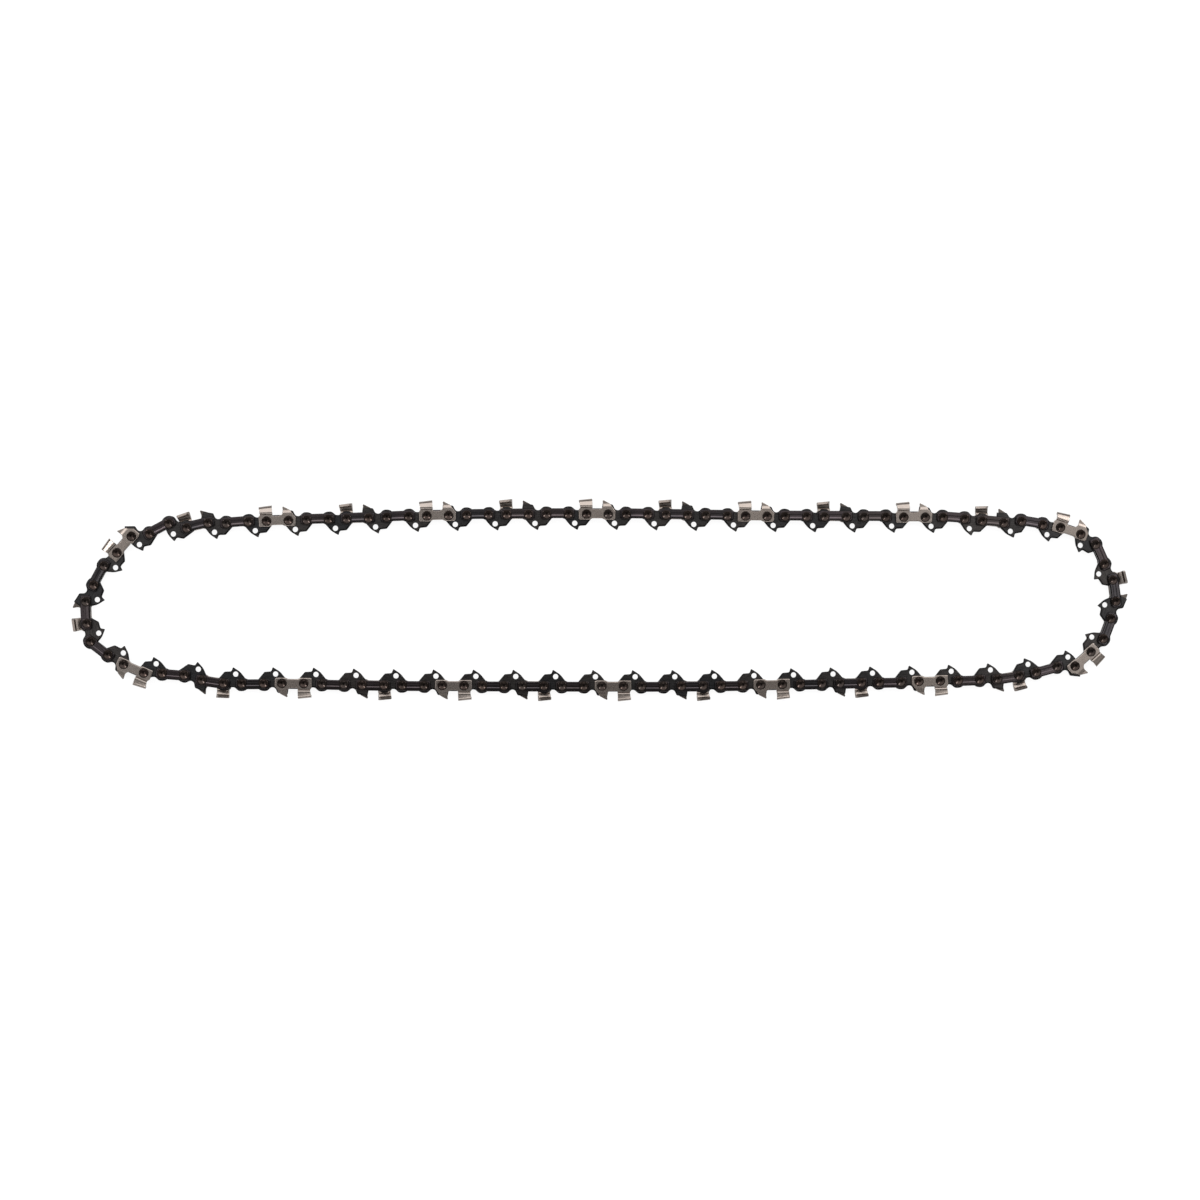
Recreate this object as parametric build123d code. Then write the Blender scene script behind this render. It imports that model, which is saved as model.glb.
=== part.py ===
from build123d import *
import math
import os

# A closed loop of saw chain lying on its left-hand side: drive links joined by pairs of side plates.
# Each link is drawn in its own frame: +X the way the chain runs, +Y out of the loop, +Z to its right.
# Millimetres and degrees throughout.

# The loop as it lies slack: places its line passes through, clockwise, and the search that closes it
DRIVE_LINKS = 56
LEFT_END_TOP = [
    (-233.0, 15.9), (-227.1, 21.9), (-220.1, 29.8), (-211.9, 30.8), (-202.6, 35.7),
    (-194.4, 33.6), (-184.6, 36.0), (-176.1, 35.7), (-166.1, 36.5),
]
TOP_RUN = [(-115.4, 38.1), (-77.6, 39.5), (-3.3, 40.3), (70.9, 39.4), (145.5, 39.0), (163.9, 38.8)]
RIGHT_END = [
    (188.5, 36.4), (197.0, 37.2), (207.1, 35.6), (215.5, 34.3), (225.1, 31.2), (232.3, 26.5),
    (236.6, 17.1), (240.8, 9.2), (242.1, -1.3), (239.7, -9.1), (236.2, -18.3), (230.3, -24.5),
    (222.8, -31.2), (213.7, -31.4), (204.6, -34.0), (196.4, -35.6), (185.9, -37.2),
]
BOTTOM_RUN = [(116.2, -39.0), (41.3, -40.3), (-33.2, -40.2), (-107.9, -39.7), (-144.6, -38.9)]
LEFT_END_BOTTOM = [
    (-177.8, -38.8), (-188.1, -37.2), (-196.0, -34.9), (-206.0, -34.1), (-214.6, -34.0), (-223.8, -30.0),
    (-231.2, -25.5), (-239.3, -19.2), (-240.9, -11.1), (-241.5, -1.2), (-237.8, 6.9),
]
SCALE_SLACK = 0.05
SCALE_TRIES = 40
CHORD_TRIES = 12
LINKS_PER_CUTTER_PAIR = 4
RIGHT_CUTTER_PLACE = 0
LEFT_CUTTER_PLACE = 2

# Pitch of the chain, and how much closer a drive link's two rivets stand than a side plate's
PITCH = 9.32
RIVET_OFFSET = 0.82
DRIVE_SPACING = PITCH - RIVET_OFFSET
STRAP_SPACING = PITCH + RIVET_OFFSET

# Layers, from the middle of the chain outwards
DRIVE_GAUGE = 1.27
SIDE_PLAY = 0.05
PLATE_THICKNESS = 1.15
HEAD_HEIGHT = 0.45
TOOTH_FLARE = 1.0

# Drive link, with heights given down from its rivet line where it hangs below it
DRIVE_LINK_GAP = 2.54
LOBE_CORNERS = 3
LOBE_STEP = 60.0
SADDLE_HEIGHT = 1.8
TANG_DEPTH = 7.45
TANG_TIP_AHEAD = 0.1
HOOK_DEPTH = 5.5
HOOK_AHEAD = 1.15
TOE_DEPTH = 5.2
TOE_BEHIND_RIVET = 0.45
SHOULDER_DEPTH = 2.1
SHOULDER_AHEAD_OF_RIVET = 2.2
HEEL_DEPTH = 5.1
HEEL_AHEAD_OF_RIVET = 0.85
TANG_HOLE_RADIUS = 1.3
TANG_HOLE_SIDES = 6
TANG_HOLE_DEPTH = 4.25
TANG_HOLE_AHEAD_OF_HEEL = 2.25

# Side plates and their rivet heads
STRAP_GAP = 2.5
STRAP_TOP = 2.5
STRAP_BOTTOM = 2.3
STRAP_CORNER = 1.4
HEAD_MARGIN = 0.85
HEAD_SIDES = 6

# Guard hump on the bumper strap, with lengths measured from its front rivet
HUMP_ROOT_BEHIND = 2.6
HUMP_BACK_BEHIND = 0.5
HUMP_BACK_HEIGHT = 3.0
HUMP_TIP_AHEAD = 0.3
HUMP_TIP_HEIGHT = 5.2
HUMP_BROW_AHEAD = 2.1
HUMP_BROW_HEIGHT = 4.0
HUMP_NOSE_AHEAD = 3.4
HUMP_NOSE_HEIGHT = 2.1

# Cutter foot and depth gauge
FOOT_REAR_EXTRA = 0.7
FOOT_FRONT_EXTRA = 0.4
FOOT_BOTTOM = 2.6
FOOT_CORNER = 1.0
FOOT_REAR_SHOULDER = 2.0
FOOT_FRONT_SHOULDER = 1.4
GULLET_HEIGHT = 2.2
GULLET_AHEAD_OF_REAR_RIVET = 3.4
GULLET_BEHIND_FRONT_RIVET = 3.5
GAUGE_TIP_BEHIND = 2.6
GAUGE_TIP_HEIGHT = 6.2
GAUGE_BACK_BEHIND = 2.45
GAUGE_BACK_HEIGHT = 3.6
GAUGE_BROW_BEHIND = 1.1
GAUGE_BROW_HEIGHT = 5.85

# Cutter tooth: the foot folds outwards at a crease, then over the chain as a top plate
CREASE_HEIGHT = 3.0
TOOTH_BEHIND_REAR_RIVET = 2.9
TOOTH_AHEAD_OF_REAR_RIVET = 2.4
TOOTH_REAR_LEAN = 10.0
TOOTH_HEIGHT = 7.0
TOOTH_SHOULDER = 0.5
SIDE_BAND = 0.9
TOP_PLATE_THICKNESS = 1.0
TOP_PLATE_WIDTH = 3.4
TOP_RELIEF_ANGLE = 8.0
FILING_ANGLE = 30.0

# Sizes and heights that follow from those above
DRIVE_END_RADIUS = (STRAP_SPACING - DRIVE_LINK_GAP) / 2
STRAP_END = (DRIVE_SPACING - STRAP_GAP) / 2
FOOT_REAR_END = STRAP_END + FOOT_REAR_EXTRA
FOOT_FRONT_END = STRAP_END + FOOT_FRONT_EXTRA
HEAD_RADIUS = STRAP_END - HEAD_MARGIN
PLATE_INNER = DRIVE_GAUGE / 2 + SIDE_PLAY
PLATE_OUTER = PLATE_INNER + PLATE_THICKNESS
TOOTH_SIDE = PLATE_OUTER + TOOTH_FLARE
MID_HEIGHT = PLATE_OUTER + max(TOOTH_FLARE, HEAD_HEIGHT)
LINE = [Vector(x, y) for x, y in LEFT_END_TOP + TOP_RUN + RIGHT_END + BOTTOM_RUN + LEFT_END_BOTTOM]
LINE_STEPS = [(after - place).length for place, after in zip(LINE, LINE[1:] + LINE[:1])]
LINE_LENGTH = sum(LINE_STEPS)
REAR_RIVET = -STRAP_SPACING / 2
FRONT_RIVET = STRAP_SPACING / 2


def rest_point(distance):
    """A point of the loop's line, a smooth curve through its places, at a distance along their chords."""
    number = 0
    along = distance % LINE_LENGTH
    while along > LINE_STEPS[number]:
        along -= LINE_STEPS[number]
        number += 1
    step = LINE_STEPS[number]
    share = along / step
    after = (number + 1) % len(LINE)
    ends = LINE[number] * (1 - share) ** 2 * (1 + 2 * share) + LINE[after] * share**2 * (3 - 2 * share)
    leave = line_slope(number) * (step * share * (1 - share) ** 2)
    arrive = line_slope(after) * (step * share**2 * (1 - share))
    return ends + leave - arrive


def line_slope(number):
    """Slope of the loop's line at one of its places."""
    before, after = LINE[number - 1], LINE[(number + 1) % len(LINE)]
    return (after - before) / (LINE_STEPS[number - 1] + LINE_STEPS[number])


def step_rivets(scale):
    """Rivet centres stepped round the line drawn at a scale, and how far the last passes the first."""
    distance = 0.0
    centres = [rest_point(distance) * scale]
    for _ in range(DRIVE_LINKS):
        for spacing in (DRIVE_SPACING, STRAP_SPACING):
            guess = distance + spacing / scale
            for _ in range(CHORD_TRIES):
                guess += (spacing - (rest_point(guess) * scale - centres[-1]).length) / scale
            distance = guess
            centres.append(rest_point(distance) * scale)
    return centres, distance - LINE_LENGTH


def rivet_centres():
    """Rivet centres of the closed loop: the line is scaled until the last rivet meets the first."""
    middle_scale = 2 * PITCH * DRIVE_LINKS / LINE_LENGTH
    small = (1 - SCALE_SLACK) * middle_scale
    large = (1 + SCALE_SLACK) * middle_scale
    for _ in range(SCALE_TRIES):
        scale = (small + large) / 2
        centres, passed = step_rivets(scale)
        if passed > 0:
            small = scale
        else:
            large = scale
    return centres


def link_place(rear, front):
    """Place of a link between its two rivets, at the height of the chain's middle plane."""
    middle = (rear + front) / 2
    ahead = front - rear
    return Pos(middle.X, middle.Y, MID_HEIGHT) * Rot(0, 0, math.degrees(math.atan2(ahead.Y, ahead.X)))


def flat_piece(outline, low, high):
    """A piece stamped from sheet: an outline, extruded between two heights."""
    return extrude(Pos(0, 0, low) * make_face(Polyline(*outline, close=True)), high - low)


def rivet_head():
    """One peened rivet head, a low faceted dome on the plane Z = 0."""
    rim = []
    for side in range(HEAD_SIDES):
        angle = 2 * math.pi * side / HEAD_SIDES
        rim.append(Vector(HEAD_RADIUS * math.cos(angle), HEAD_RADIUS * math.sin(angle)))
    top = Vector(0, 0, HEAD_HEIGHT)
    faces = [make_face(Polyline(*rim, close=True)).face()]
    for side in range(HEAD_SIDES):
        faces.append(make_face(Polyline(rim[side - 1], rim[side], top, close=True)).face())
    return Solid(Shell(faces))


def side_plate(outline):
    """A right-hand side plate with the outer heads of its two rivets."""
    plate = flat_piece(outline, PLATE_INNER, PLATE_OUTER)
    head = rivet_head()
    for rivet in (REAR_RIVET, FRONT_RIVET):
        plate += Pos(rivet, 0, PLATE_OUTER) * head
    return plate


def drive_link():
    """Drive link: two round ends, a saddle between them, and a hooked tang with a hole below."""
    rear = -DRIVE_SPACING / 2
    front = DRIVE_SPACING / 2
    rear_lobe = []
    front_lobe = []
    for step in range(LOBE_CORNERS):
        angle = math.radians(LOBE_STEP * step)
        out = DRIVE_END_RADIUS * math.cos(angle)
        up = DRIVE_END_RADIUS * math.sin(angle)
        rear_lobe.append((rear - out, up))
        front_lobe.insert(0, (front + out, up))
    saddle = [(0, SADDLE_HEIGHT)]
    heel = rear + HEEL_AHEAD_OF_RIVET
    tang = [
        (front + SHOULDER_AHEAD_OF_RIVET, -SHOULDER_DEPTH),
        (front - TOE_BEHIND_RIVET, -TOE_DEPTH),
        (HOOK_AHEAD, -HOOK_DEPTH),
        (TANG_TIP_AHEAD, -TANG_DEPTH),
        (heel, -HEEL_DEPTH),
    ]
    link = flat_piece(rear_lobe + saddle + front_lobe + tang, -DRIVE_GAUGE / 2, DRIVE_GAUGE / 2)
    hole = RegularPolygon(TANG_HOLE_RADIUS, TANG_HOLE_SIDES)
    hole = Pos(heel + TANG_HOLE_AHEAD_OF_HEEL, -TANG_HOLE_DEPTH, 0) * hole
    return link - extrude(hole, DRIVE_GAUGE, both=True)


def tie_strap():
    """Plain right-hand tie strap with clipped corners."""
    half = FRONT_RIVET + STRAP_END
    return side_plate([
        (-half, STRAP_CORNER - STRAP_BOTTOM),
        (-half, STRAP_TOP - STRAP_CORNER),
        (STRAP_CORNER - half, STRAP_TOP),
        (half - STRAP_CORNER, STRAP_TOP),
        (half, STRAP_TOP - STRAP_CORNER),
        (half, STRAP_CORNER - STRAP_BOTTOM),
        (half - STRAP_CORNER, -STRAP_BOTTOM),
        (STRAP_CORNER - half, -STRAP_BOTTOM),
    ])


def bumper_strap():
    """Right-hand tie strap with a guard hump over its front rivet, just ahead of the depth gauge opposite."""
    half = FRONT_RIVET + STRAP_END
    return side_plate([
        (-half, STRAP_CORNER - STRAP_BOTTOM),
        (-half, STRAP_TOP - STRAP_CORNER),
        (STRAP_CORNER - half, STRAP_TOP),
        (FRONT_RIVET - HUMP_ROOT_BEHIND, STRAP_TOP),
        (FRONT_RIVET - HUMP_BACK_BEHIND, HUMP_BACK_HEIGHT),
        (FRONT_RIVET + HUMP_TIP_AHEAD, HUMP_TIP_HEIGHT),
        (FRONT_RIVET + HUMP_BROW_AHEAD, HUMP_BROW_HEIGHT),
        (FRONT_RIVET + HUMP_NOSE_AHEAD, HUMP_NOSE_HEIGHT),
        (half, STRAP_CORNER - STRAP_BOTTOM),
        (half - STRAP_CORNER, -STRAP_BOTTOM),
        (STRAP_CORNER - half, -STRAP_BOTTOM),
    ])


def tooth():
    """Tooth of a right-hand cutter: filed slanting in front, its top sloping to a rear that leans back."""
    root = REAR_RIVET - TOOTH_BEHIND_REAR_RIVET
    rear = root - (TOOTH_HEIGHT - CREASE_HEIGHT) * math.tan(math.radians(TOOTH_REAR_LEAN))
    front = REAR_RIVET + TOOTH_AHEAD_OF_REAR_RIVET
    under = TOOTH_HEIGHT - TOP_PLATE_THICKNESS
    tip = TOOTH_SIDE - TOP_PLATE_WIDTH
    section = [
        (CREASE_HEIGHT, PLATE_INNER),
        (under, TOOTH_SIDE - PLATE_THICKNESS),
        (under, tip),
        (TOOTH_HEIGHT, tip),
        (TOOTH_HEIGHT, TOOTH_SIDE - TOOTH_SHOULDER),
        (TOOTH_HEIGHT - TOOTH_SHOULDER, TOOTH_SIDE),
        (TOOTH_HEIGHT - TOOTH_SHOULDER - SIDE_BAND, TOOTH_SIDE),
        (CREASE_HEIGHT, PLATE_OUTER),
    ]
    blank = Plane.YZ.offset(rear) * make_face(Polyline(*section, close=True))
    body = extrude(blank, front - rear)
    filed = Plane((front, 0, TOOTH_SIDE), z_dir=Vector(1, 0, 0).rotate(Axis.Y, FILING_ANGLE))
    relieved = Plane((front, TOOTH_HEIGHT, 0), z_dir=Vector(0, 1, 0).rotate(Axis.Z, TOP_RELIEF_ANGLE))
    leaned = Plane((root, CREASE_HEIGHT, 0), z_dir=Vector(-1, 0, 0).rotate(Axis.Z, TOOTH_REAR_LEAN))
    for cut in (filed, relieved, leaned):
        body = split(body, bisect_by=cut, keep=Keep.BOTTOM)
    return body


def cutter():
    """Right-hand cutter: a foot with a depth gauge in front and a folded tooth behind."""
    rear_end = REAR_RIVET - FOOT_REAR_END
    front_end = FRONT_RIVET + FOOT_FRONT_END
    foot = side_plate([
        (rear_end + FOOT_CORNER, -FOOT_BOTTOM),
        (rear_end, FOOT_CORNER - FOOT_BOTTOM),
        (rear_end, FOOT_REAR_SHOULDER),
        (REAR_RIVET - TOOTH_BEHIND_REAR_RIVET, CREASE_HEIGHT),
        (REAR_RIVET + TOOTH_AHEAD_OF_REAR_RIVET, CREASE_HEIGHT),
        (REAR_RIVET + GULLET_AHEAD_OF_REAR_RIVET, GULLET_HEIGHT),
        (FRONT_RIVET - GULLET_BEHIND_FRONT_RIVET, GULLET_HEIGHT),
        (FRONT_RIVET - GAUGE_BACK_BEHIND, GAUGE_BACK_HEIGHT),
        (FRONT_RIVET - GAUGE_TIP_BEHIND, GAUGE_TIP_HEIGHT),
        (FRONT_RIVET - GAUGE_BROW_BEHIND, GAUGE_BROW_HEIGHT),
        (front_end, FOOT_FRONT_SHOULDER),
        (front_end, FOOT_CORNER - FOOT_BOTTOM),
        (front_end - FOOT_CORNER, -FOOT_BOTTOM),
    ])
    return foot + tooth()


def left_hand(piece):
    """The left-hand piece that mirrors a right-hand one across the chain's middle plane."""
    return mirror(piece, about=Plane.XY)


def chain():
    """Every node's solids in place, the loop centred on the origin and lying on Z = 0."""
    link = drive_link()
    strap = tie_strap()
    bumper = bumper_strap()
    saw = cutter()
    kinds = {
        RIGHT_CUTTER_PLACE: (("right_cutter", saw), ("left_bumper_strap", left_hand(bumper))),
        LEFT_CUTTER_PLACE: (("left_cutter", left_hand(saw)), ("right_bumper_strap", bumper)),
    }
    plain = (("right_tie_straps", strap), ("left_tie_straps", left_hand(strap)))
    nodes = {"drive_links": []}
    counts = {}
    rivets = rivet_centres()
    for number in range(DRIVE_LINKS):
        rear, front, after = rivets[2 * number:2 * number + 3]
        nodes["drive_links"].append(link_place(rear, front) * link)
        place = link_place(front, after)
        pair = kinds.get(number % LINKS_PER_CUTTER_PAIR)
        for name, piece in pair or plain:
            if pair:
                counts[name] = counts.get(name, 0) + 1
                name = f"{name}_{counts[name]:02d}"
            nodes.setdefault(name, []).append(place * piece)
    box = Compound([solid for solids in nodes.values() for solid in solids]).bounding_box()
    centring = Pos(-box.center().X, -box.center().Y, 0)
    return {name: [centring * solid for solid in solids] for name, solids in nodes.items()}


os.makedirs("parts", exist_ok=True)
for node, pieces in chain().items():
    export_step(Compound(pieces) if len(pieces) > 1 else pieces[0], f"parts/{node}.step")
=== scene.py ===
import math

import bpy
import numpy as np
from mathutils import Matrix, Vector
from mathutils.geometry import delaunay_2d_cdt


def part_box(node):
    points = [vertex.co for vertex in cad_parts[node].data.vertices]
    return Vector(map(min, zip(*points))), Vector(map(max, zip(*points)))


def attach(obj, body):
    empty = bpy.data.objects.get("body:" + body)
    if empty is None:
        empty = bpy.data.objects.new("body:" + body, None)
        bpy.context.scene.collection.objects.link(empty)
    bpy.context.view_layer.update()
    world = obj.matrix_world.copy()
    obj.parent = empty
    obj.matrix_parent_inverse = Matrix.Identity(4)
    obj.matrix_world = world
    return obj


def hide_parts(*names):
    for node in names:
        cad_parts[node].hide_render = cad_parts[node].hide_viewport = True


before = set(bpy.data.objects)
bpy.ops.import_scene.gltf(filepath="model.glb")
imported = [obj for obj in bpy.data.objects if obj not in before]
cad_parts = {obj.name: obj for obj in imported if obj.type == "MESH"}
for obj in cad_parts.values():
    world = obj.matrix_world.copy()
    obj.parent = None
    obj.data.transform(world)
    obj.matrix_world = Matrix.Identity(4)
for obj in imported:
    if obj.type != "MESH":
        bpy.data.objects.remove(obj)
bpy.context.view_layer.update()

# A closed loop of saw chain lying on its left-hand side.
# Links are drawn in millimetres in a frame of their own: +X the way the chain runs, +Y out of the loop and
# +Z to the chain's right-hand side, with the origin midway between the link's two rivets.
# The corner of an outline is (x, y, radius). The size of a rounded edge is how far it reaches in and down.

MM = 0.001
SEED = 7
PLACE_DIGITS = 6
SAME_HEIGHT = MM / 1000

# Meshing: steps round an arc or an edge, points too close to keep, and the spread of points over a face
ARC_STEP = math.radians(18)
NEAR = 0.08
EDGE_STEPS = 3
LEAST_SPREAD = 0.6
ROW_PITCH = 0.87
RIM_CLEARANCE = 0.6
CDT_SAFE = 1e-6
NUDGE = 1e-4

# Heights above the chain's middle plane, read from the frame
right_low, right_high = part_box("right_tie_straps")
left_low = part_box("left_tie_straps")[0]
drive_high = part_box("drive_links")[1]
MID_HEIGHT = (right_high.z + left_low.z) / 2
HEAD_TOP = (right_high.z - MID_HEIGHT) / MM
HEAD_HEIGHT = 0.45
PLATE_INNER = (right_low.z - MID_HEIGHT) / MM
PLATE_OUTER = HEAD_TOP - HEAD_HEIGHT
DRIVE_HALF = (drive_high.z - MID_HEIGHT) / MM

# Rivets: heads, shank and the fatter hub that turns in the drive link, and the width of the painted shade
# ring at a head's rim
HEAD_RADIUS = 2.3
DISH_RADIUS = 1.85
DISH_FLAT = 1.2
DISH_DEPTH = 0.28
DISH_RINGS = 6
RIM_RINGS = 4
RIM_SHADE = 0.3
SHANK_RADIUS = 1.2
HUB_RADIUS = 1.95
RIVET_CLEARANCE = 0.04
RIVET_SIDES = 28
RIVET_HOLE_SIDES = 16
HOLE_EDGE = (0.2, 0.15)

# Drive link, with x measured from its middle: ends round each rivet, in degrees, a saddle and the tang
LOBE = 3.65
LOBE_ARC = 0.98 * LOBE
REAR_LOBE_FROM = 172
LOBE_CREST = 90
RIM_HALF = 2.75
RIM_RADIUS = 2.3
SADDLE_HALF = 0.9
SADDLE_HEIGHT = 1.9
SADDLE_RADIUS = 1.8
TOE = (3.95, -5.3, 0.95)
HOOK = (0.75, -5.5, 0.9)
TANG_TIP = (0.05, -7.5, 0.3)
HEEL = (-3.3, -5.35, 4.0)
TANG_HOLE = (-1.25, -4.25)
TANG_HOLE_RADIUS = 1.25
DRIVE_HOLE_SIDES = 24
DRIVE_STEP = 0.9
DRIVE_GRID = 0.8
DRIVE_EDGE = (0.75, 0.28)
LEAST_FLAT = 0.15
LEAST_EDGE = 0.2
TIP_EDGE = 0.32
TIP_REACH = (0.5, 2.6)

# Drive link corners measured from a rivet: shoulders, and the guard hump of the links ahead of the cutters
FRONT_SHOULDER = (LOBE, -0.5, 1.2)
REAR_SHOULDER = (-LOBE, 0.2, 0.8)
HUMP_FROM = 138
HUMP_TIP = (-2.5, 5.4, 0.3)
HUMP_CHEEK = (2.15, 4.5, 0.9)

# Tie strap, and the channel pressed into it
STRAP_END = 3.0
STRAP_TOP = 2.75
STRAP_BOTTOM = 2.3
STRAP_WAIST = 1.85
STRAP_TOP_CORNER = 1.6
STRAP_LOW_CORNER = 1.5
WAIST_FROM = 1.7
WAIST_TO = 2.6
WAIST_RADIUS = 1.2
STRAP_STEP = 0.6
STRAP_GRID = 0.3
STRAP_EDGE = (0.65, 0.3)
CHANNEL_MIDDLE = 0.25
CHANNEL_FLAT = 0.45
CHANNEL_WIDTH = 0.95
CHANNEL_DEPTH = 0.13
CHANNEL_ENDS = (2.2, 0.8)

# Cutter foot and depth gauge, with corners measured from the rear rivet or the front one
FOOT_REAR = -3.7
FOOT_FRONT = 3.4
FOOT_BOTTOM = -2.6
FOOT_WAIST = -2.0
GULLET = 2.15
REAR_FOOT = [(FOOT_REAR, FOOT_BOTTOM, 0.6), (1.75, FOOT_BOTTOM, 0.8), (2.7, FOOT_WAIST, 0.8)]
FRONT_FOOT = [
    (-2.9, FOOT_WAIST, 0.8),
    (-1.6, FOOT_BOTTOM, 0.8),
    (FOOT_FRONT, FOOT_BOTTOM, 1.1),
    (FOOT_FRONT, 1.4, 0.6),
]
GAUGE_CHEEK = (2.0, 3.0, 2.0)
GAUGE_BROW = (0.85, 4.9, 1.0)
GAUGE_TIP = (-2.7, 6.8, 0.35)
GAUGE_BACK = (-2.4, 4.2, 1.5)
GULLET_FRONT = (-2.75, GULLET, 2.2)
COINED_DEPTH = 0.27
COINED_FROM = 3.4
COINED_TO = 5.0
CUTTER_STEP = 0.35
CUTTER_GRID = 0.32
CUTTER_EDGE = (0.48, 0.3)
SHARPENED = 0.65
SHARPENED_FROM = -0.5

# Cutter tooth, folded from the same sheet: a crease sets it out, then it leans in and turns over the chain
CREASE_FROM = 3.05
CREASE_TURN = math.radians(70)
CREASE_BENDS = (0.35, 0.63, 0.35)
LEAN_BEND = 0.5
LEAN_TURN = math.radians(17)
LEAN_LENGTH = 1.45
CORNER_RADIUS = 1.45
TOP_PLATE_REACH = 1.2
TOOTH_FRONT = 2.7
TOOTH_REAR = -3.6
TOOTH_ROOT = (-2.9, CREASE_FROM, 0.5)
FOOT_SHOULDER = (FOOT_REAR, 1.95, 0.65)
GULLET_LEAN = 0.1
GULLET_RADIUS = 0.5
POINT_RADIUS = 0.3
PLATE_RADIUS = 0.25
REAR_RADIUS = 2.0
FILED_FROM = 0.25
FILING_ANGLE = math.radians(30)
FILED_UNDERCUT = 0.45
FILED_DEPTH = 1.2
TOP_RELIEF = math.radians(6)
PLATE_END_SLOPE = math.radians(9)
PLATE_END_SPAN = 0.4

# Dark tones of a cutter: painted shade on its edges, in the crease and on a line across the fold; darker
# towards the top plate's end and on the gauge's back
EDGE_TONE = 0.3
CREASE_TONE = 0.5
CREASE_TONE_SPAN = 0.6
END_DARK_TONE = 0.25
END_DARK_SPAN = (0.3, 0.1)
FOLD_TONE = 0.75
FOLD_TONE_PLACE = 0.75
FOLD_TONE_SPAN = (0.1, 0.4)
GAUGE_BACK_TONE = 0.65

# Finishes: tints that drift, the tint of the painted shade on edges and how fast it comes in, roughness,
# streaks and relief
METALLIC = 1.0
FINISHES = {
    "black_oxide": {
        "tints": [(0.034, 0.034, 0.036), (0.044, 0.042, 0.042), (0.056, 0.051, 0.049)],
        "edge_shade_tint": (0.004, 0.004, 0.004),
        "edge_shade_power": 0.45,
        "roughness": (0.24, 0.36),
        "grain": 0.4,
        "relief": 0.00003,
    },
    "bronze_black": {
        "tints": [(0.054, 0.050, 0.053), (0.076, 0.062, 0.066), (0.068, 0.057, 0.056)],
        "edge_shade_tint": (0.006, 0.005, 0.005),
        "edge_shade_power": 0.45,
        "roughness": (0.14, 0.22),
        "grain": 0.2,
        "relief": 0.000008,
    },
    "plated_steel": {
        "tints": [(0.25, 0.213, 0.189), (0.29, 0.249, 0.222), (0.275, 0.239, 0.216)],
        "edge_shade_tint": (0.030, 0.026, 0.024),
        "edge_shade_power": 1.0,
        "roughness": (0.22, 0.32),
        "grain": 0.08,
        "relief": 0.000008,
    },
    "rivet_black": {
        "tints": [(0.021, 0.016, 0.014), (0.030, 0.022, 0.019), (0.026, 0.021, 0.019)],
        "edge_shade_tint": (0.006, 0.005, 0.004),
        "edge_shade_power": 0.7,
        "roughness": (0.12, 0.18),
        "grain": 0.2,
        "relief": 0.00001,
    },
}

# Texture of every finish, per millimetre of a link
SHADE_SHIFT = (137.0, 71.0, 29.0)
DRIFT = {"Scale": 0.16, "Detail": 3.0, "Roughness": 0.55}
STREAK = {"Scale": 1.3, "Detail": 4.0, "Roughness": 0.6}
STREAK_STRETCH = (0.22, 2.6, 1.0)
SPECK = {"Scale": 5.0, "Detail": 3.0, "Roughness": 0.7}
NOISE_SPAN = (0.3, 0.7)
TINT_MEAN = 0.5
RAMP_FROM = 0.25
RAMP_SPAN = 0.5
BUMP_STRENGTH = 0.25

# Floor and sky
FLOOR_SIZE = 30
FLOOR_TONE = (0.14, 0.14, 0.14, 1)
FLOOR_ROUGHNESS = 0.9
FLOOR_SPECULAR = 0.0
FLOOR_GLOW = 0.895
SKY_SPAN = (0.75, 1.0)
HORIZON_LIGHT = 0.5
ZENITH_LIGHT = 0.1
SKY_COLOUR = (1, 1, 1, 1)

# Softboxes as (name, place, size, power): some aimed at the loop's middle, some hung facing straight down
LOOP_MIDDLE = (0, 0, 0)
AIMED_BOXES = [
    ("rear_left", (-1.2, 0.9, 1.3), (0.4, 0.4), 8),
    ("rear_right", (1.2, 0.9, 1.3), (0.4, 0.4), 8),
    ("rear_bank", (0, 1.0, 1.25), (2.4, 1.25), 20),
    ("front_bank", (0, -1.35, 0.85), (2.4, 0.45), 14),
]
HUNG_BOXES = [
    ("overhead_right", (0.8, 0.4, 1.5), (1.1, 0.74), 2.3),
    ("overhead_left", (-0.95, 0, 1.4), (0.6, 0.8), 2.2),
    ("left_strip", (-0.55, 0.32, 1.5), (0.7, 0.16), 0.4),
    ("top_sheet", (0, 0.34, 1.5), (1.6, 0.6), 1.2),
    ("end_right", (0.63, -0.08, 1.5), (0.24, 0.26), 0.4),
    ("end_left", (-0.6, -0.08, 1.5), (0.28, 0.26), 0.25),
]

# Camera, almost straight above the loop
CAMERA_HEIGHT = 1.3
CAMERA_LEAN = 0.04
AIM_X = -0.0016
FRAME_WIDTH = 0.562


class Part:
    """A closed mesh in a link's frame: points, triangles, normals and how dark each point is painted: painted
    shade by how much it lies on an edge, on a cutter with more dark marks.
    """

    def __init__(self, points, faces, normals, edge):
        self.points = np.asarray(points, float)
        self.faces = np.asarray(faces, int)
        self.normals = np.asarray(normals, float)
        self.edge = np.asarray(edge, float)


def smooth(low, high, value):
    """Rises smoothly from 0 at low to 1 at high."""
    share = np.clip((value - low) / (high - low), 0, 1)
    return share * share * (3 - 2 * share)


def spaced(points, longest):
    """A closed line's points with more added until no run is longer than longest."""
    filled = []
    for start, end in zip(points, np.roll(points, -1, axis=0)):
        runs = max(1, math.ceil(np.linalg.norm(end - start) / longest))
        filled.extend(start + (end - start) * run / runs for run in range(runs))
    return np.array(filled)


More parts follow.
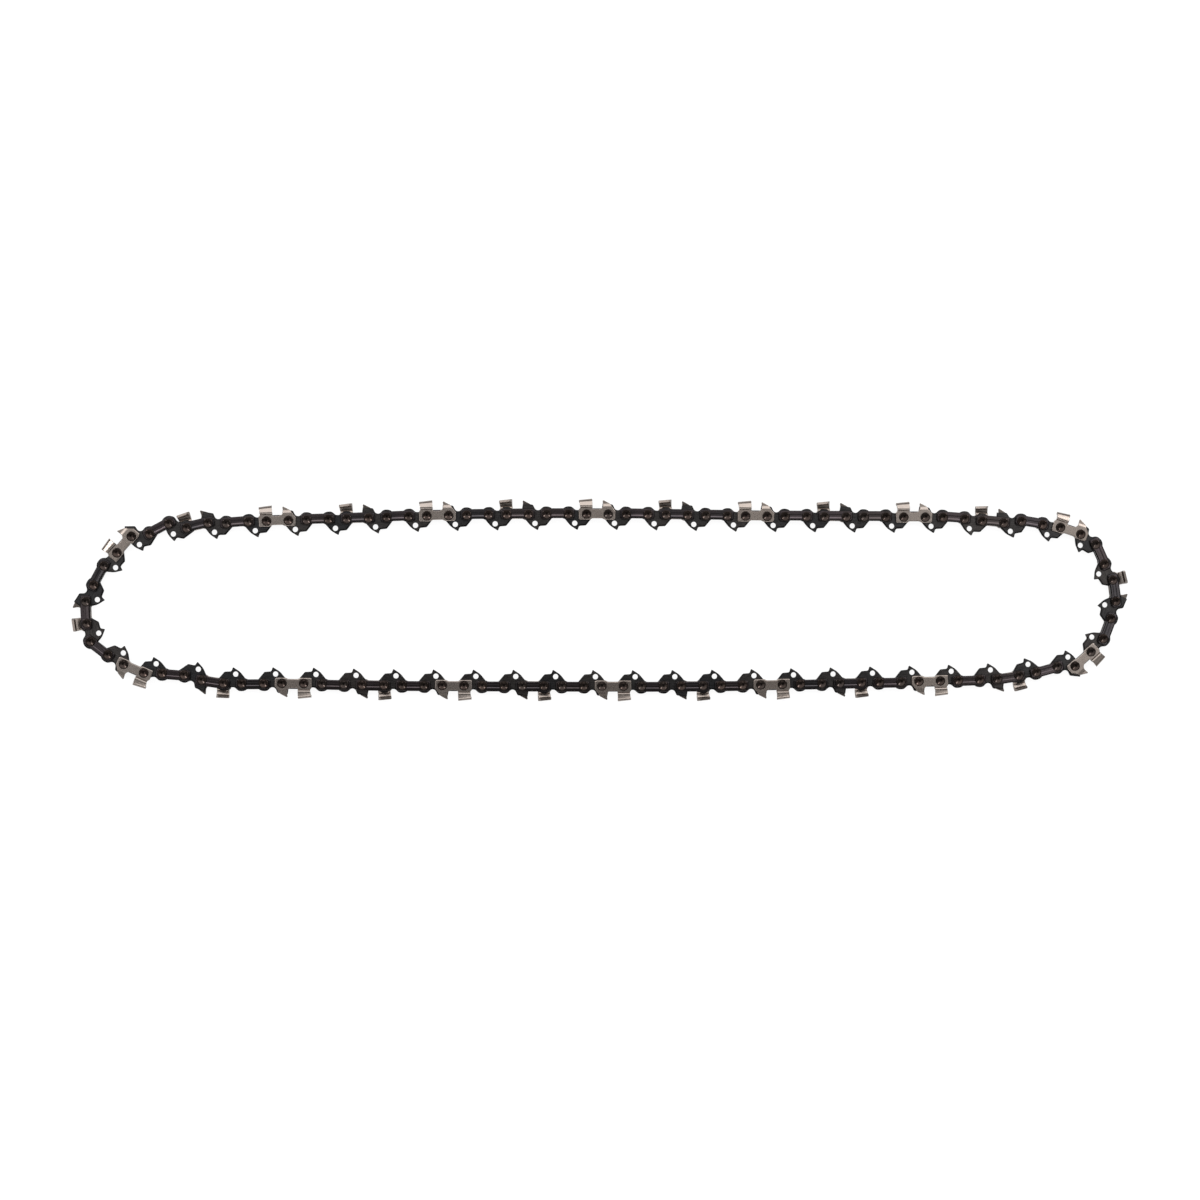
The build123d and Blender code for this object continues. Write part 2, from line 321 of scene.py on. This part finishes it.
def rounded(corners, longest):
    """Points round an outline of (x, y, radius) corners, each corner an arc of its radius."""
    points = []
    for number, (x, y, radius) in enumerate(corners):
        corner = np.array((x, y))
        before = np.array(corners[number - 1][:2]) - corner
        after = np.array(corners[(number + 1) % len(corners)][:2]) - corner
        before /= np.linalg.norm(before)
        after /= np.linalg.norm(after)
        half = math.acos(np.clip(before @ after, -1, 1)) / 2
        turn = math.pi - 2 * half
        sense = math.copysign(1, after[0] * before[1] - after[1] * before[0])
        centre = corner + (before + after) / np.linalg.norm(before + after) * radius / math.sin(half)
        spoke = corner + before * radius / math.tan(half) - centre
        steps = max(1, math.ceil(turn / ARC_STEP))
        for step in range(steps + 1):
            angle = sense * turn * step / steps
            c, s = math.cos(angle), math.sin(angle)
            points.append(centre + (c * spoke[0] - s * spoke[1], s * spoke[0] + c * spoke[1]))
    points = np.array(points)
    apart = np.linalg.norm(points - np.roll(points, 1, axis=0), axis=1) > NEAR
    return spaced(points[apart], longest)


def circle(x, y, radius, sides):
    """Points round a circle."""
    angles = np.arange(sides) * 2 * math.pi / sides
    return np.stack([x + radius * np.cos(angles), y + radius * np.sin(angles)], axis=1)


def wound(contour, hole):
    """The contour wound with the metal on its left: the outline anticlockwise, a hole clockwise."""
    ahead = np.roll(contour, -1, axis=0)
    area = (contour[:, 0] * ahead[:, 1] - contour[:, 1] * ahead[:, 0]).sum()
    return contour[::-1] if (area < 0) != hole else contour


def outward(contour):
    """Each point's direction out of the metal, lengthened so that offset runs stay parallel."""
    ahead = np.roll(contour, -1, axis=0) - contour
    ahead /= np.linalg.norm(ahead, axis=1, keepdims=True)
    behind = np.roll(ahead, 1, axis=0)
    mean = ahead + behind
    mean /= np.linalg.norm(mean, axis=1, keepdims=True)
    spread = np.clip((mean * ahead).sum(axis=1, keepdims=True), LEAST_SPREAD, 1)
    return np.stack([mean[:, 1], -mean[:, 0]], axis=1) / spread


def inside(points, contour):
    """Which points lie inside a contour."""
    x, y = points[:, 0, None], points[:, 1, None]
    ax, ay = contour.T
    bx, by = np.roll(contour, -1, axis=0).T
    crosses = (ay > y) != (by > y)
    rise = np.where(by == ay, 1, by - ay)
    return (crosses & (x < (bx - ax) * (y - ay) / rise + ax)).sum(axis=1) % 2 == 1


def face_points(contours, spacing):
    """Staggered points inside an outline and outside its holes, clear of both."""
    low, high = contours[0].min(axis=0), contours[0].max(axis=0)
    rows = np.arange(low[1], high[1], spacing * ROW_PITCH)
    points = []
    for number, y in enumerate(rows):
        for x in np.arange(low[0] + spacing / 2 * (number % 2), high[0], spacing):
            points.append((x, y))
    points = np.array(points)
    keep = inside(points, contours[0])
    for hole in contours[1:]:
        keep &= ~inside(points, hole)
    rim = np.concatenate(contours)
    gaps = np.linalg.norm(points[:, None] - rim[None], axis=2).min(axis=1)
    return points[keep & (gaps > spacing * RIM_CLEARANCE)]


def face_triangles(contours, middle):
    """Triangles over an outline with holes, numbered by its contours' points and then its middle points."""
    ties, start = [], 0
    for contour in contours:
        ties += [(start + n, start + (n + 1) % len(contour)) for n in range(len(contour))]
        start += len(contour)
    spots = [Vector(spot) for spot in np.concatenate(contours + [middle])]
    _, _, triangles, sources, _, _ = delaunay_2d_cdt(spots, ties, [], 1, CDT_SAFE)
    triangles = np.array([[sources[corner][0] for corner in triangle] for triangle in triangles])
    centres = np.array(spots)[triangles].mean(axis=1)
    for hole in contours[1:]:
        open_air = inside(centres, hole)
        triangles, centres = triangles[~open_air], centres[~open_air]
    return triangles


def plate(outline, holes, low, high, edge, spacing, sharpness=None):
    """A stamped sheet between two heights, with rounded edges that sharpness can make smaller."""
    contours = [wound(outline, False)] + [wound(hole, True) for hole in holes]
    angles = np.linspace(math.pi / 2, 0, EDGE_STEPS + 1)
    levels = [(high, 1, angle) for angle in angles] + [(low, -1, angle) for angle in angles[::-1]]
    points, normals, edges, faces, inner, tops, bottoms = [], [], [], [], [], [], []
    total = 0
    for contour in contours:
        out = outward(contour)
        flat = out / np.linalg.norm(out, axis=1, keepdims=True)
        in_size, down_size = edge if contour is contours[0] else HOLE_EDGE
        share = sharpness(contour) if sharpness and contour is contours[0] else np.ones(len(contour))
        around = np.arange(len(contour))
        after = np.roll(around, -1)
        for number, (height, side, angle) in enumerate(levels):
            inset = in_size * share * (1 - math.cos(angle))
            drop = down_size * share * (1 - math.sin(angle))
            points.append(np.column_stack([contour - out * inset[:, None], height - side * drop]))
            lean = math.atan2(math.sin(angle) * in_size, math.cos(angle) * down_size)
            tilt = np.full(len(contour), side * math.sin(lean))
            normals.append(np.column_stack([flat * math.cos(lean), tilt]))
            edges.append(np.full(len(contour), math.cos(angle)))
            if number:
                upper, lower = total - len(contour), total
                faces.append(np.column_stack([upper + around, lower + around, lower + after]))
                faces.append(np.column_stack([upper + around, lower + after, upper + after]))
            else:
                tops.append(total + around)
                inner.append(points[-1][:, :2])
            total += len(contour)
        bottoms.append(total - len(contour) + around)
    middle = face_points(inner, spacing)
    triangles = face_triangles(inner, middle)
    for rims, height, side in ((tops, high, 1), (bottoms, low, -1)):
        index = np.concatenate(rims + [total + np.arange(len(middle))])
        faces.append(index[triangles[:, ::side]])
        points.append(np.column_stack([middle, np.full(len(middle), height)]))
        normals.append(np.tile((0, 0, side), (len(middle), 1)))
        edges.append(np.zeros(len(middle)))
        total += len(middle)
    return Part(np.concatenate(points), np.concatenate(faces), np.concatenate(normals), np.concatenate(edges))


def warped(part, shape):
    """The part with its points moved by a smooth change of shape, and its normals turned with them."""
    slopes = []
    for axis in np.eye(3):
        slopes.append((shape(part.points + NUDGE * axis) - shape(part.points - NUDGE * axis)) / (2 * NUDGE))
    turned = np.linalg.solve(np.stack(slopes, axis=1), part.normals[..., None])[..., 0]
    turned /= np.linalg.norm(turned, axis=1, keepdims=True)
    return Part(shape(part.points), part.faces, turned, part.edge)


def revolved(profile, sides):
    """A closed turning about Z from a (radius, height) profile that runs from its top to its bottom."""
    profile = np.array(profile)
    along = np.gradient(profile, axis=0)
    lean = np.stack([-along[:, 1], along[:, 0]], axis=1)
    lean /= np.linalg.norm(lean, axis=1, keepdims=True)
    ring = circle(0, 0, 1, sides)
    points = [np.column_stack([ring * r, np.full(sides, z)]) for r, z in profile]
    normals = [np.column_stack([ring * r, np.full(sides, z)]) for r, z in lean]
    around = np.arange(sides)
    after = np.roll(around, -1)
    faces = []
    for upper in range(0, sides * (len(profile) - 1), sides):
        lower = upper + sides
        faces.append(np.column_stack([upper + around, lower + around, lower + after]))
        faces.append(np.column_stack([upper + around, lower + after, upper + after]))
    last = sides * len(profile)
    for pole, ends, side in ((last, around, 1), (last + 1, last - sides + around, -1)):
        faces.append(np.column_stack([np.full(sides, pole), ends, np.roll(ends, -1)])[:, ::side])
        points.append([(0, 0, profile[0 if side > 0 else -1, 1])])
        normals.append([(0, 0, side)])
    points = np.concatenate(points)
    return Part(points, np.concatenate(faces), np.concatenate(normals), np.zeros(len(points)))


def rivet():
    """A rivet with a dished head rolled over on each side."""
    right = []
    for ring in range(DISH_RINGS + 1):
        share = ring / DISH_RINGS
        right.append((DISH_FLAT + (DISH_RADIUS - DISH_FLAT) * share, HEAD_TOP - DISH_DEPTH * (1 - share)))
    for ring in range(1, RIM_RINGS + 1):
        angle = math.pi / 2 * ring / RIM_RINGS
        out = DISH_RADIUS + (HEAD_RADIUS - DISH_RADIUS) * math.sin(angle)
        right.append((out, HEAD_TOP - HEAD_HEIGHT * (1 - math.cos(angle))))
    right += [(SHANK_RADIUS, PLATE_OUTER), (SHANK_RADIUS, PLATE_INNER), (HUB_RADIUS, PLATE_INNER)]
    left = [(radius, -height) for radius, height in reversed(right)]
    pin = revolved(right + left, RIVET_SIDES)
    # Painted shade: the rim of each head is painted dark, a shade ring round the rivet.
    pin.edge = smooth(HEAD_RADIUS - RIM_SHADE, HEAD_RADIUS, np.linalg.norm(pin.points[:, :2], axis=1))
    return pin


def from_rivet(rivet_x, *corners):
    """Corners measured from a rivet, moved to where that rivet is."""
    return [(rivet_x + x, y, radius) for x, y, radius in corners]


def lobe(rivet_x, first, last):
    """Corners that round off into an arc about a rivet, from one angle in degrees to another."""
    step = math.radians(last - first) / 2
    reach = LOBE / math.cos(step / 2)
    angles = [math.radians(first) + step * share for share in (0.5, 1.5)]
    return [(rivet_x + reach * math.cos(angle), reach * math.sin(angle), LOBE_ARC) for angle in angles]


def drive_link(half, guarded):
    """A drive link: two round ends, a saddle and a hooked tang with a hole; a guarded one has a hump."""
    tips = [TANG_TIP]
    rear_end = lobe(-half, REAR_LOBE_FROM, LOBE_CREST) + [(-RIM_HALF, LOBE, RIM_RADIUS)]
    if guarded:
        hump = from_rivet(-half, HUMP_TIP, HUMP_CHEEK)
        tips.append(hump[0])
        rear_end = lobe(-half, REAR_LOBE_FROM, HUMP_FROM) + hump
    outline = rounded([
        *rear_end,
        (-SADDLE_HALF, SADDLE_HEIGHT, SADDLE_RADIUS),
        (SADDLE_HALF, SADDLE_HEIGHT, SADDLE_RADIUS),
        (RIM_HALF, LOBE, RIM_RADIUS),
        *lobe(half, LOBE_CREST, 0),
        *from_rivet(half, FRONT_SHOULDER),
        TOE,
        HOOK,
        TANG_TIP,
        HEEL,
        *from_rivet(-half, REAR_SHOULDER),
    ], DRIVE_STEP)
    eye = HUB_RADIUS + RIVET_CLEARANCE
    holes = [(-half, 0, eye), (half, 0, eye), (*TANG_HOLE, TANG_HOLE_RADIUS)]

    def narrow_share(contour):
        """The edge is rounded less where the metal is slender: at the tips and beside the holes."""
        gaps = [np.linalg.norm(contour - (x, y), axis=1) - radius for x, y, radius in holes]
        room = np.min(gaps, axis=0) - HOLE_EDGE[0] - LEAST_FLAT
        away = np.min([np.linalg.norm(contour - tip[:2], axis=1) for tip in tips], axis=0)
        beside_holes = np.clip(room / DRIVE_EDGE[0], LEAST_EDGE, 1)
        at_tips = TIP_EDGE + (1 - TIP_EDGE) * smooth(*TIP_REACH, away)
        return beside_holes * at_tips

    openings = [circle(*hole, DRIVE_HOLE_SIDES) for hole in holes]
    return plate(outline, openings, -DRIVE_HALF, DRIVE_HALF, DRIVE_EDGE, DRIVE_GRID, narrow_share)


def rivet_holes(half):
    """Outlines of the two rivet holes of a side plate."""
    return [circle(x, 0, SHANK_RADIUS + RIVET_CLEARANCE, RIVET_HOLE_SIDES) for x in (-half, half)]


def through_plate(z):
    """How far a height is through a side plate: 0 at its inner face, 1 at its outer face."""
    return (z - PLATE_INNER) / (PLATE_OUTER - PLATE_INNER)


def tie_strap(half):
    """A tie strap with a shallow channel pressed into its outer face between the rivets."""
    end = half + STRAP_END
    outline = rounded([
        (-end, -STRAP_BOTTOM, STRAP_LOW_CORNER),
        (WAIST_FROM - half, -STRAP_BOTTOM, WAIST_RADIUS),
        (WAIST_TO - half, -STRAP_WAIST, WAIST_RADIUS),
        (half - WAIST_TO, -STRAP_WAIST, WAIST_RADIUS),
        (half - WAIST_FROM, -STRAP_BOTTOM, WAIST_RADIUS),
        (end, -STRAP_BOTTOM, STRAP_LOW_CORNER),
        (end, STRAP_TOP, STRAP_TOP_CORNER),
        (-end, STRAP_TOP, STRAP_TOP_CORNER),
    ], STRAP_STEP)

    def pressed(points):
        """The strap's points with the channel pressed in."""
        x, y, z = points.T
        across = 1 - smooth(CHANNEL_FLAT, CHANNEL_WIDTH, np.abs(y - CHANNEL_MIDDLE))
        between = 1 - smooth(half - CHANNEL_ENDS[0], half - CHANNEL_ENDS[1], np.abs(x))
        return np.column_stack([x, y, z - CHANNEL_DEPTH * across * between * through_plate(z)])

    flat = plate(outline, rivet_holes(half), PLATE_INNER, PLATE_OUTER, STRAP_EDGE, STRAP_GRID)
    return warped(flat, pressed)


def cutter(half):
    """A cutter stamped as one flat blank, its tooth then folded over and filed."""
    first, rise_length, last = CREASE_BENDS
    corner_turn = math.pi / 2 - LEAN_TURN
    corner_length = CORNER_RADIUS * corner_turn
    folds = [
        (first, CREASE_TURN),
        (rise_length, 0),
        (last, -CREASE_TURN),
        (LEAN_BEND, -LEAN_TURN),
        (LEAN_LENGTH, 0),
        (corner_length, -corner_turn),
        (2 * TOP_PLATE_REACH, 0),
    ]
    crease_end = CREASE_FROM + sum(CREASE_BENDS)
    round_end = crease_end + LEAN_BEND + LEAN_LENGTH + corner_length
    blank_end = round_end + TOP_PLATE_REACH
    middle = (PLATE_INNER + PLATE_OUTER) / 2
    front = TOOTH_FRONT - half
    rear = TOOTH_REAR - half
    side_end = round_end - FILED_FROM
    filed = front - (blank_end - side_end) * math.tan(FILING_ANGLE)
    outline = rounded([
        *from_rivet(-half, *REAR_FOOT),
        *from_rivet(half, *FRONT_FOOT, GAUGE_CHEEK, GAUGE_BROW, GAUGE_TIP, GAUGE_BACK, GULLET_FRONT),
        (front + GULLET_LEAN, GULLET, GULLET_RADIUS),
        (front, side_end, POINT_RADIUS),
        (filed, blank_end, PLATE_RADIUS),
        (rear, blank_end, PLATE_RADIUS),
        (rear, side_end, REAR_RADIUS),
        *from_rivet(-half, TOOTH_ROOT, FOOT_SHOULDER),
    ], CUTTER_STEP)

    def edge_share(contour):
        """The tooth and the gauge keep sharper edges than the foot."""
        return 1 - SHARPENED * smooth(SHARPENED_FROM, GULLET, contour[:, 1])

    def dark_tones(points, edge):
        """How dark each point of the blank is: painted shade on its edges, in the crease and on the fold, and
        darker towards the top plate's end and on the gauge's back.
        """
        x, along, z = points.T
        outer_tooth = (x < 0) * (z > middle)
        # Painted shade in the crease at the tooth's foot, on its outer face.
        in_crease = np.clip((along - CREASE_FROM) / (crease_end - CREASE_FROM), 0, 1) * 2 - 1
        painted_crease_shade = CREASE_TONE * smooth(0, CREASE_TONE_SPAN, 1 - np.abs(in_crease)) * outer_tooth
        # Darker towards the top plate's end.
        end_darkening = END_DARK_TONE * smooth(blank_end - END_DARK_SPAN[0], blank_end - END_DARK_SPAN[1], along)
        # Painted shade: a dark line across the tooth's rounded fold, on its outer face.
        from_line = np.abs(along - (round_end - FOLD_TONE_PLACE * corner_length))
        painted_fold_shade = FOLD_TONE * (1 - smooth(*FOLD_TONE_SPAN, from_line)) * outer_tooth
        gauge_back = GAUGE_BACK_TONE * (x > 0) * (z < middle)
        return np.maximum.reduce([EDGE_TONE * edge, painted_crease_shade, end_darkening, painted_fold_shade, gauge_back])

    def folded(points):
        """The blank's points with the tooth creased, folded and filed and the depth gauge coined thinner."""
        x, along, z = points.T
        end_slope = math.tan(PLATE_END_SLOPE) * smooth(blank_end - PLATE_END_SPAN, blank_end, along)
        along = along - end_slope * (z - middle)
        coined = COINED_DEPTH * through_plate(z) * smooth(COINED_FROM, COINED_TO, along)
        gauge = np.column_stack([x, along, z - coined])
        y = np.minimum(along, CREASE_FROM)
        rise = np.zeros(len(points))
        angle = np.zeros(len(points))
        left, heading = along - CREASE_FROM, 0
        for length, turn in folds:
            run = np.clip(left, 0, length)
            bend = turn / length
            chord = run * np.sinc(bend * run / math.tau)
            angle = angle + bend * run
            y = y + chord * np.cos(heading + bend * run / 2)
            rise = rise + chord * np.sin(heading + bend * run / 2)
            left, heading = left - length, heading + turn
        y = y - np.sin(angle) * (z - middle)
        rise = rise + np.cos(angle) * (z - middle)
        y -= math.tan(TOP_RELIEF) * (front - x) * smooth(crease_end, round_end, along)
        edge = np.interp(along, (side_end, blank_end), (front, filed))
        near_edge = smooth(edge - FILED_DEPTH, edge, x) * smooth(CREASE_FROM, side_end, along)
        undercut = FILED_UNDERCUT * (PLATE_OUTER - z) * near_edge
        tooth = np.column_stack([x - undercut, y, middle + rise])
        return np.where((x < 0)[:, None], tooth, gauge)

    flat = plate(outline, rivet_holes(half), PLATE_INNER, PLATE_OUTER, CUTTER_EDGE, CUTTER_GRID, edge_share)
    # The edge values now hold the cutter's painted shade and its other dark marks.
    flat.edge = dark_tones(flat.points, flat.edge)
    return warped(flat, folded)


def head_tops(node, height):
    """Centres of a node's rivet heads, seen from above."""
    spots = set()
    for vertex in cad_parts[node].data.vertices:
        if abs(vertex.co.z - height) < SAME_HEIGHT:
            spots.add((round(vertex.co.x, PLACE_DIGITS), round(vertex.co.y, PLACE_DIGITS)))
    return sorted(spots)


def round_the_loop(side, height):
    """Every rivet of one side as (place, node), as the chain runs, from the rear rivet of a strap."""
    found = []
    for node in sorted(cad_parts):
        if node.startswith(side):
            found += [(np.array(spot), node) for spot in head_tops(node, height)]
    walk = [found.pop(0)]
    while found:
        gaps = [np.linalg.norm(spot - walk[-1][0]) for spot, _ in found]
        walk.append(found.pop(int(np.argmin(gaps))))
    spots = np.array([spot for spot, _ in walk])
    ahead = np.roll(spots, -1, axis=0)
    if (spots[:, 0] * ahead[:, 1] - spots[:, 1] * ahead[:, 0]).sum() > 0:
        walk.reverse()
    gaps = [np.linalg.norm(walk[n + 1][0] - walk[n][0]) for n in range(2)]
    return walk if gaps[0] > gaps[1] else walk[1:] + walk[:1]


def placed(part, rear, front, shade, mirrored=False):
    """A part's arrays moved to the loop, between two places; a left-hand part is mirrored."""
    ahead = (front - rear) / np.linalg.norm(front - rear)
    axes = np.array([[ahead[0], ahead[1], 0], [-ahead[1], ahead[0], 0], [0, 0, -1 if mirrored else 1]])
    centre = np.array([*(rear + front) / 2, MID_HEIGHT])
    return {
        "points": part.points * MM @ axes + centre,
        "normals": part.normals @ axes,
        "faces": part.faces[:, ::-1] if mirrored else part.faces,
        "edge": part.edge,
        "place": part.points,
        "shade": np.full(len(part.points), shade),
    }


def piece(name, copies, finish, slot, *nodes):
    """One object from placed copies, which stands for CAD nodes and rides on the loop's only body."""
    starts = np.cumsum([0] + [len(copy["points"]) for copy in copies])
    faces = np.concatenate([copy["faces"] + start for copy, start in zip(copies, starts)])
    mesh = bpy.data.meshes.new(name)
    mesh.from_pydata(np.concatenate([copy["points"] for copy in copies]).tolist(), [], faces.tolist())
    mesh.shade_smooth()
    for key in ("edge", "shade"):
        values = np.concatenate([copy[key] for copy in copies])
        mesh.attributes.new(key, "FLOAT", "POINT").data.foreach_set("value", values)
    places = np.concatenate([copy["place"] for copy in copies])
    mesh.attributes.new("place", "FLOAT_VECTOR", "POINT").data.foreach_set("vector", places.ravel())
    normals = np.concatenate([copy["normals"] for copy in copies])
    mesh.normals_split_custom_set_from_vertices(normals.tolist())
    mesh.materials.append(finish)
    made = bpy.data.objects.new(name, mesh)
    bpy.context.scene.collection.objects.link(made)
    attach(made, "root")
    if nodes:
        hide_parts(*nodes)


def node_maker(owner):
    """A function that adds nodes to a material or world, with settings, values and links to their inputs."""
    tree = owner.node_tree

    def add(kind, inputs, **settings):
        """A new node; an input that is given another node's socket is linked to it."""
        node = tree.nodes.new(kind)
        for key, value in settings.items():
            setattr(node, key, value)
        for key, value in inputs.items():
            if isinstance(value, bpy.types.NodeSocket):
                tree.links.new(value, node.inputs[key])
            else:
                node.inputs[key].default_value = value
        return node

    return add


def ranged(add, value, source, target):
    """A value carried over from the source's range to the target's."""
    limits = {"From Min": source[0], "From Max": source[1], "To Min": target[0], "To Max": target[1]}
    return add("ShaderNodeMapRange", {"Value": value, **limits}).outputs["Result"]


def steel(name, tints, edge_shade_tint, edge_shade_power, roughness, grain, relief):
    """Oxidised or plated steel: drifting tints, streaks along the link and edges darkened by painted shade.
    """
    material = bpy.data.materials.new(name)
    material.use_nodes = True
    links = material.node_tree.links
    shader = material.node_tree.nodes["Principled BSDF"]
    shader.inputs["Metallic"].default_value = METALLIC
    add = node_maker(material)
    place = add("ShaderNodeAttribute", {}, attribute_name="place").outputs["Vector"]
    shade = add("ShaderNodeAttribute", {}, attribute_name="shade").outputs["Fac"]
    edge = add("ShaderNodeAttribute", {}, attribute_name="edge").outputs["Fac"]
    shift = add("ShaderNodeVectorMath", {0: SHADE_SHIFT, "Scale": shade}, operation="SCALE").outputs[0]
    spot = add("ShaderNodeVectorMath", {0: place, 1: shift}, operation="ADD").outputs[0]
    drawn = add("ShaderNodeVectorMath", {0: spot, 1: STREAK_STRETCH}, operation="MULTIPLY").outputs[0]
    drift = add("ShaderNodeTexNoise", {"Vector": spot, **DRIFT}).outputs["Fac"]
    streak = add("ShaderNodeTexNoise", {"Vector": drawn, **STREAK}).outputs["Fac"]
    speck = add("ShaderNodeTexNoise", {"Vector": spot, **SPECK}).outputs["Fac"]

    total = add("ShaderNodeMath", {0: drift, 1: shade}, operation="ADD").outputs[0]
    level = add("ShaderNodeMath", {0: total, 1: TINT_MEAN}, operation="MULTIPLY").outputs[0]
    ramp = add("ShaderNodeValToRGB", {"Fac": level})
    elements = ramp.color_ramp.elements
    while len(elements) < len(tints):
        elements.new(RAMP_FROM + RAMP_SPAN / 2)
    for number, tint in enumerate(tints):
        elements[number].position = RAMP_FROM + RAMP_SPAN * number / (len(tints) - 1)
        elements[number].color = (*tint, 1)
    mottle = ranged(add, streak, NOISE_SPAN, (1 - grain, 1 + grain))
    mottled = {0: ramp.outputs["Color"], "Scale": mottle}
    toned = add("ShaderNodeVectorMath", mottled, operation="SCALE").outputs[0]
    # Painted shade: edges are painted towards the dark edge tint, in place of the dark reflections in rounded
    # edges.
    painted_edge_shade = add("ShaderNodeMath", {0: edge, 1: edge_shade_power}, operation="POWER").outputs[0]
    blend = add("ShaderNodeMix", {"Factor": painted_edge_shade, "A": toned, "B": (*edge_shade_tint, 1)}, data_type="RGBA")
    links.new(blend.outputs["Result"], shader.inputs["Base Color"])

    links.new(ranged(add, speck, NOISE_SPAN, roughness), shader.inputs["Roughness"])
    height = add("ShaderNodeMath", {0: speck, 1: streak}, operation="ADD").outputs[0]
    bump = add("ShaderNodeBump", {"Strength": BUMP_STRENGTH, "Distance": relief, "Height": height})
    links.new(bump.outputs["Normal"], shader.inputs["Normal"])
    return material


def side_plates(right, left, half, shades, finishes):
    """Every cutter and strap of both sides, a piece for each CAD node."""
    strap, saw = tie_strap(half), cutter(half)
    sets = {}
    for spots, mirrored in ((right, False), (left, True)):
        for number in range(0, len(spots), 2):
            (rear, node), (front, _) = spots[number:number + 2]
            part = saw if "cutter" in node else strap
            sets.setdefault(node, []).append(placed(part, rear, front, shades.random(), mirrored))
    for node, copies in sets.items():
        if "cutter" in node:
            piece(f"dressed_{node}", copies, finishes["plated_steel"], "cutter_steel", node)
        else:
            piece(f"dressed_{node}", copies, finishes["bronze_black"], "strap_steel", node)


def drive_links(right, half, shades, finishes):
    """Every drive link in one piece; those ahead of a cutter, on either side, have the guard hump."""
    plain_link, guarded_link = drive_link(half, False), drive_link(half, True)
    links = []
    for number in range(1, len(right), 2):
        rear, strap_behind = right[number]
        front, _ = right[(number + 1) % len(right)]
        link = plain_link if strap_behind == "right_tie_straps" else guarded_link
        links.append(placed(link, rear, front, shades.random()))
    piece("dressed_drive_links", links, finishes["black_oxide"], "drive_link_steel", "drive_links")


def rivets(right, shades, finishes):
    """Every rivet in one piece, each turned by chance."""
    pin = rivet()
    pins = []
    for spot, _ in right:
        turn = shades.random() * math.pi
        ahead = np.array((math.cos(turn), math.sin(turn)))
        pins.append(placed(pin, spot - ahead / 2, spot + ahead / 2, shades.random()))
    piece("dressed_rivets", pins, finishes["rivet_black"], "strap_steel")


def build_chain():
    """Every piece of the chain, placed by the rivets of the frame."""
    finishes = {name: steel(name, **finish) for name, finish in FINISHES.items()}
    right = round_the_loop("right", right_high.z)
    left = round_the_loop("left", left_low.z)
    (first, _), (second, _), (third, _) = right[:3]
    shades = np.random.default_rng(SEED)
    side_plates(right, left, np.linalg.norm(second - first) / MM / 2, shades, finishes)
    drive_links(right, np.linalg.norm(third - second) / MM / 2, shades, finishes)
    rivets(right, shades, finishes)


def softbox(name, place, size, power, aim):
    """A softbox aimed at a point."""
    lamp = bpy.data.lights.new(name, "AREA")
    lamp.shape = "RECTANGLE"
    lamp.size, lamp.size_y = size
    lamp.energy = power
    made = bpy.data.objects.new(name, lamp)
    made.location = place
    made.rotation_euler = (Vector(aim) - Vector(place)).to_track_quat("-Z", "Y").to_euler()
    bpy.context.scene.collection.objects.link(made)


def sky():
    """A plain white sky, dimmer overhead than at the horizon."""
    world = bpy.data.worlds.new("studio")
    world.use_nodes = True
    bpy.context.scene.world = world
    add = node_maker(world)
    view = add("ShaderNodeTexCoord", {}).outputs["Generated"]
    height = add("ShaderNodeSeparateXYZ", {"Vector": view}).outputs["Z"]
    glow = ranged(add, height, SKY_SPAN, (HORIZON_LIGHT, ZENITH_LIGHT))
    back = world.node_tree.nodes["Background"]
    back.inputs["Color"].default_value = SKY_COLOUR
    world.node_tree.links.new(glow, back.inputs["Strength"])


def floor():
    """A pale floor, white to the eye and to reflections, that still takes the loop's shadow."""
    bpy.ops.mesh.primitive_plane_add(size=FLOOR_SIZE)
    made = bpy.context.object
    made.name = "floor"
    material = bpy.data.materials.new("pale_floor")
    material.use_nodes = True
    add = node_maker(material)
    tree = material.node_tree
    shader = tree.nodes["Principled BSDF"]
    shader.inputs["Base Color"].default_value = FLOOR_TONE
    shader.inputs["Roughness"].default_value = FLOOR_ROUGHNESS
    shader.inputs["Specular IOR Level"].default_value = FLOOR_SPECULAR
    path = add("ShaderNodeLightPath", {}).outputs
    seen = path["Is Camera Ray"]
    for ray in ("Is Glossy Ray", "Is Transmission Ray"):
        seen = add("ShaderNodeMath", {0: seen, 1: path[ray]}, operation="MAXIMUM").outputs[0]
    glow = add("ShaderNodeMath", {0: seen, 1: FLOOR_GLOW}, operation="MULTIPLY").outputs[0]
    light = add("ShaderNodeEmission", {"Strength": glow}).outputs[0]
    both = add("ShaderNodeAddShader", {0: shader.outputs[0], 1: light}).outputs[0]
    tree.links.new(both, tree.nodes["Material Output"].inputs["Surface"])
    made.data.materials.append(material)


def camera():
    """The camera, with the loop filling most of the frame's width."""
    lens = bpy.data.cameras.new("camera")
    lens.lens = lens.sensor_width * (CAMERA_HEIGHT - MID_HEIGHT) / FRAME_WIDTH
    made = bpy.data.objects.new("camera", lens)
    made.location = (AIM_X - CAMERA_HEIGHT * math.sin(CAMERA_LEAN), 0, CAMERA_HEIGHT * math.cos(CAMERA_LEAN))
    made.rotation_euler = (0, -CAMERA_LEAN, 0)
    bpy.context.scene.collection.objects.link(made)
    bpy.context.scene.camera = made


def studio():
    """Sky, softboxes, floor and camera."""
    sky()
    for name, place, size, power in AIMED_BOXES:
        softbox(name, place, size, power, LOOP_MIDDLE)
    for name, place, size, power in HUNG_BOXES:
        softbox(name, place, size, power, (*place[:2], 0))
    floor()
    camera()
    bpy.context.scene.view_settings.view_transform = "Standard"


build_chain()
studio()
